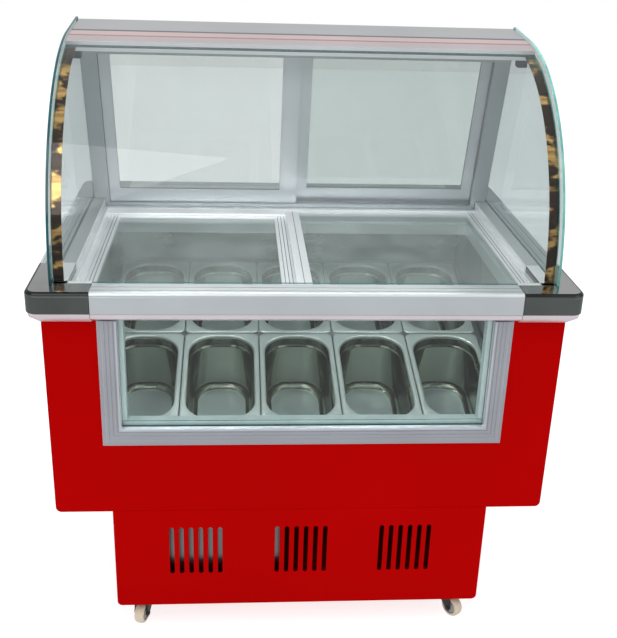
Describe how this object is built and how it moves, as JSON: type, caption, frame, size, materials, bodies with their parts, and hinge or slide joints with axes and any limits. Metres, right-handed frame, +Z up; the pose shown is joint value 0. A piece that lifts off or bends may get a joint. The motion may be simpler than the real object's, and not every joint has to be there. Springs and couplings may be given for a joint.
{
  "type": "ice cream dipping cabinet",
  "caption": "Mobile ice cream dipping cabinet with curved glass canopy, sliding lids over lift-out pans, front window, sliding rear doors and swivel casters.",
  "frame": {"origin": "on the floor under the middle of the counter", "axes": "+Z up, -Y towards the customer (curved glass and window), +Y towards the server (sliding doors), +X to the customer's right"},
  "size_m": [1.1, 0.834, 1.2748],
  "materials": {
    "red_paint": "gloss",
    "satin_aluminium": "satin",
    "polished_stainless": "polished",
    "chrome": "mirror",
    "clear_glass": "clear",
    "gold_mirror": "mirror",
    "insulation_foam": "matte",
    "lamp_white": "gloss",
    "caster_tread": "matte",
    "zinc_steel": "bright zinc",
    "black_steel": "satin",
    "copper": "drawn",
    "black_plastic": "matte"
  },
  "bodies": {
    "cabinet": {"body_shell": "red_paint", "front_panel": "red_paint", "rear_panel": "red_paint", "well_liner": "polished_stainless", "foam_core": "insulation_foam", "base_shell": "red_paint", "base_front_grille": "red_paint", "base_rear_grille": "red_paint", "front_rail": "satin_aluminium", "side_rails": "satin_aluminium", "rear_rail": "satin_aluminium", "corner_caps": "chrome", "window_frame": "satin_aluminium", "window_panes": "clear_glass", "pan_support_frame": "polished_stainless", "side_glasses": "clear_glass", "curved_front_glass": "clear_glass", "gold_edge_trims": "gold_mirror", "glass_clips": "chrome", "canopy_profile": "satin_aluminium", "led_strip": "lamp_white", "rear_frame": "satin_aluminium", "lid_track_frame": "satin_aluminium", "caster_plates": "zinc_steel", "compressor": "black_steel", "condenser": "satin_aluminium", "fan_shroud": "black_steel", "evaporator": "satin_aluminium", "refrigerant_lines": "copper", "control_panel": "black_plastic", "cord_gland": "black_plastic", "assembly_screws": "zinc_steel"},
    "left_lid": {"left_lid_frame": "satin_aluminium", "left_lid_glass": "clear_glass"},
    "right_lid": {"right_lid_frame": "satin_aluminium", "right_lid_glass": "clear_glass"},
    "left_door": {"left_door_frame": "satin_aluminium", "left_door_glass": "clear_glass"},
    "right_door": {"right_door_frame": "satin_aluminium", "right_door_glass": "clear_glass"},
    "fan": {"fan_blade": "black_plastic"},
    "switch_rocker": {"power_switch": "black_plastic"},
    "pan_front_1": {"pan_front_1": "polished_stainless"},
    "pan_front_2": {"pan_front_2": "polished_stainless"},
    "pan_front_3": {"pan_front_3": "polished_stainless"},
    "pan_front_4": {"pan_front_4": "polished_stainless"},
    "pan_front_5": {"pan_front_5": "polished_stainless"},
    "pan_rear_1": {"pan_rear_1": "polished_stainless"},
    "pan_rear_2": {"pan_rear_2": "polished_stainless"},
    "pan_rear_3": {"pan_rear_3": "polished_stainless"},
    "pan_rear_4": {"pan_rear_4": "polished_stainless"},
    "pan_rear_5": {"pan_rear_5": "polished_stainless"},
    "caster_front_left": {"caster_fork_front_left": "zinc_steel"},
    "wheel_front_left": {"caster_wheel_front_left": "caster_tread"},
    "caster_front_right": {"caster_fork_front_right": "zinc_steel"},
    "wheel_front_right": {"caster_wheel_front_right": "caster_tread"},
    "caster_rear_left": {"caster_fork_rear_left": "zinc_steel"},
    "wheel_rear_left": {"caster_wheel_rear_left": "caster_tread"},
    "caster_rear_right": {"caster_fork_rear_right": "zinc_steel"},
    "wheel_rear_right": {"caster_wheel_rear_right": "caster_tread"}
  },
  "joints": [
    {"name": "left_lid_slide", "type": "slide", "parent": "cabinet", "child": "left_lid", "axis": [1, 0, 0], "range_m": [0, 0.468]},
    {"name": "right_lid_slide", "type": "slide", "parent": "cabinet", "child": "right_lid", "axis": [-1, 0, 0], "range_m": [0, 0.441]},
    {"name": "left_door_slide", "type": "slide", "parent": "cabinet", "child": "left_door", "axis": [1, 0, 0], "range_m": [0, 0.452]},
    {"name": "right_door_slide", "type": "slide", "parent": "cabinet", "child": "right_door", "axis": [-1, 0, 0], "range_m": [0, 0.452]},
    {"name": "pan_front_1_lift", "type": "slide", "parent": "cabinet", "child": "pan_front_1", "axis": [0, -0.2096, 0.9778], "range_m": [0, 0.08]},
    {"name": "pan_front_2_lift", "type": "slide", "parent": "cabinet", "child": "pan_front_2", "axis": [0, -0.2096, 0.9778], "range_m": [0, 0.08]},
    {"name": "pan_front_3_lift", "type": "slide", "parent": "cabinet", "child": "pan_front_3", "axis": [0, -0.2096, 0.9778], "range_m": [0, 0.08]},
    {"name": "pan_front_4_lift", "type": "slide", "parent": "cabinet", "child": "pan_front_4", "axis": [0, -0.2096, 0.9778], "range_m": [0, 0.08]},
    {"name": "pan_front_5_lift", "type": "slide", "parent": "cabinet", "child": "pan_front_5", "axis": [0, -0.2096, 0.9778], "range_m": [0, 0.08]},
    {"name": "pan_rear_1_lift", "type": "slide", "parent": "cabinet", "child": "pan_rear_1", "axis": [0, -0.2096, 0.9778], "range_m": [0, 0.08]},
    {"name": "pan_rear_2_lift", "type": "slide", "parent": "cabinet", "child": "pan_rear_2", "axis": [0, -0.2096, 0.9778], "range_m": [0, 0.08]},
    {"name": "pan_rear_3_lift", "type": "slide", "parent": "cabinet", "child": "pan_rear_3", "axis": [0, -0.2096, 0.9778], "range_m": [0, 0.08]},
    {"name": "pan_rear_4_lift", "type": "slide", "parent": "cabinet", "child": "pan_rear_4", "axis": [0, -0.2096, 0.9778], "range_m": [0, 0.08]},
    {"name": "pan_rear_5_lift", "type": "slide", "parent": "cabinet", "child": "pan_rear_5", "axis": [0, -0.2096, 0.9778], "range_m": [0, 0.08]},
    {"name": "caster_front_left_swivel", "type": "hinge", "parent": "cabinet", "child": "caster_front_left", "pos_m": [-0.35, -0.34, 0.06], "axis": [0, 0, 1], "continuous": true},
    {"name": "wheel_front_left_spin", "type": "hinge", "parent": "caster_front_left", "child": "wheel_front_left", "pos_m": [-0.35556, -0.35712, 0.025], "axis": [-0.9511, 0.309, 0], "continuous": true},
    {"name": "caster_front_right_swivel", "type": "hinge", "parent": "cabinet", "child": "caster_front_right", "pos_m": [0.35, -0.34, 0.06], "axis": [0, 0, 1], "continuous": true},
    {"name": "wheel_front_right_spin", "type": "hinge", "parent": "caster_front_right", "child": "wheel_front_right", "pos_m": [0.36032, -0.35474, 0.025], "axis": [-0.8192, -0.5736, 0], "continuous": true},
    {"name": "caster_rear_left_swivel", "type": "hinge", "parent": "cabinet", "child": "caster_rear_left", "pos_m": [-0.35, 0.31, 0.06], "axis": [0, 0, 1], "continuous": true},
    {"name": "wheel_rear_left_spin", "type": "hinge", "parent": "caster_rear_left", "child": "wheel_rear_left", "pos_m": [-0.36559, 0.301, 0.025], "axis": [-0.5, 0.866, 0], "continuous": true},
    {"name": "caster_rear_right_swivel", "type": "hinge", "parent": "cabinet", "child": "caster_rear_right", "pos_m": [0.35, 0.31, 0.06], "axis": [0, 0, 1], "continuous": true},
    {"name": "wheel_rear_right_spin", "type": "hinge", "parent": "caster_rear_right", "child": "wheel_rear_right", "pos_m": [0.36691, 0.31616, 0.025], "axis": [0.342, -0.9397, 0], "continuous": true},
    {"name": "fan_spin", "type": "hinge", "parent": "cabinet", "child": "fan", "pos_m": [-0.19, -0.3035, 0.1825], "axis": [0, 1, 0], "continuous": true},
    {"name": "power_switch_rock", "type": "hinge", "parent": "cabinet", "child": "switch_rocker", "pos_m": [0.2785, 0.359, 0.234], "axis": [1, 0, 0], "range_deg": [-16, 0]}
  ]
}
